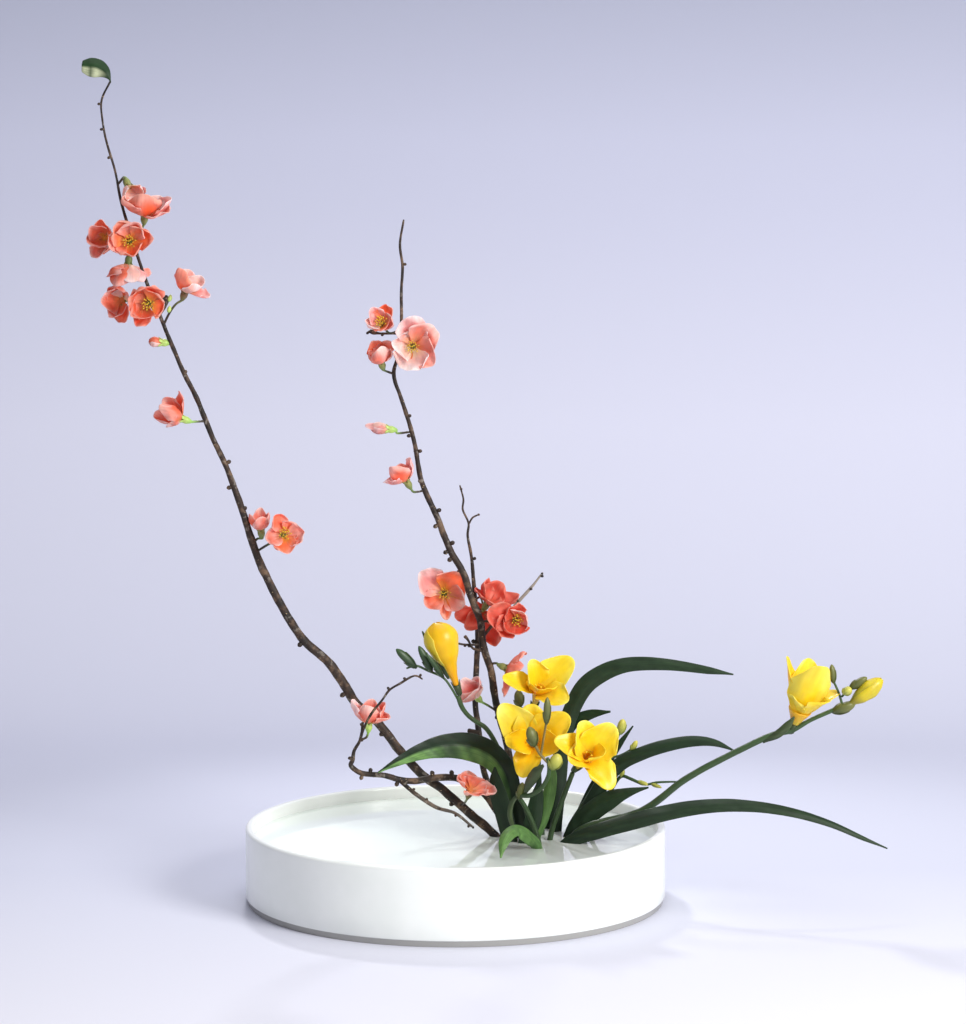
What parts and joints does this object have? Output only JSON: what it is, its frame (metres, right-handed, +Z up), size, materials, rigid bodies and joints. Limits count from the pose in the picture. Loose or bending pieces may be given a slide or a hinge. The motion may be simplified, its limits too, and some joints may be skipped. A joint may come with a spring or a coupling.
{
  "type": "ikebana arrangement in a round bowl",
  "caption": "Shallow round bowl of water with a pin holder that carries arching quince branches in bloom, freesias and sword-shaped leaves.",
  "frame": {"origin": "centre of the bowl's flat base, on the surface that it stands on", "axes": "+Z up, -Y towards the front that the arrangement is made to be seen from, +X to the right seen from the front, where the freesias reach out"},
  "size_m": [0.5971, 0.32, 0.6379],
  "materials": {
    "porcelain": "glossy white glazed stoneware",
    "water": "still, clear",
    "lead": "dull grey lead with brass pins",
    "bark": "matt dark bark with pale lenticels",
    "coral": "satin petals, coral with paler rims",
    "red": "satin petals, deep orange red",
    "pale": "satin petals, pale pink",
    "yellow": "satin petals, golden yellow",
    "stem": "satin green stem",
    "leaf": "satin dark green leaf",
    "young_leaf": "satin fresh green leaf"
  },
  "bodies": {
    "root": {"bowl": "porcelain", "freesia_bloom_1": "yellow", "freesia_bloom_2": "yellow", "freesia_bloom_3": "yellow", "freesia_bloom_4": "yellow", "freesia_bloom_5": "yellow", "freesia_bud_yellow": "yellow", "freesia_stem_buds": "stem", "freesia_stem_centre": "stem", "freesia_stem_front": "stem", "freesia_stem_left": "stem", "freesia_stem_low": "stem", "freesia_stem_right": "stem", "freesia_stem_spike": "stem", "leaf_arching_back": "leaf", "leaf_arching_left": "leaf", "leaf_arching_right": "leaf", "leaf_broad_left": "leaf", "leaf_broad_right": "leaf", "leaf_dark_centre": "leaf", "leaf_short_front": "young_leaf", "leaf_straight_right": "leaf", "leaf_tall_back": "leaf", "leaf_trailing_right": "leaf", "leaf_upright_centre": "young_leaf", "pin_holder": "lead", "quince_bloom_01": "coral", "quince_bloom_02": "coral", "quince_bloom_03": "coral", "quince_bloom_04": "coral", "quince_bloom_05": "red", "quince_bloom_06": "coral", "quince_bloom_07": "coral", "quince_bloom_08": "coral", "quince_bloom_09": "coral", "quince_bloom_10": "coral", "quince_bloom_11": "coral", "quince_bloom_12": "coral", "quince_bloom_13": "coral", "quince_bloom_14": "pale", "quince_bloom_15": "coral", "quince_bloom_16": "coral", "quince_bloom_17": "coral", "quince_bloom_18": "red", "quince_bloom_19": "red", "quince_bloom_20": "coral", "quince_bloom_21": "pale", "quince_bloom_22": "coral", "quince_bloom_23": "coral", "quince_bloom_24": "red", "quince_bloom_25": "pale", "quince_branch_back": "bark", "quince_branch_crooked": "bark", "quince_branch_tall": "bark", "quince_branch_upright": "bark", "quince_leaf": "young_leaf", "water": "water"}
  },
  "joints": []
}
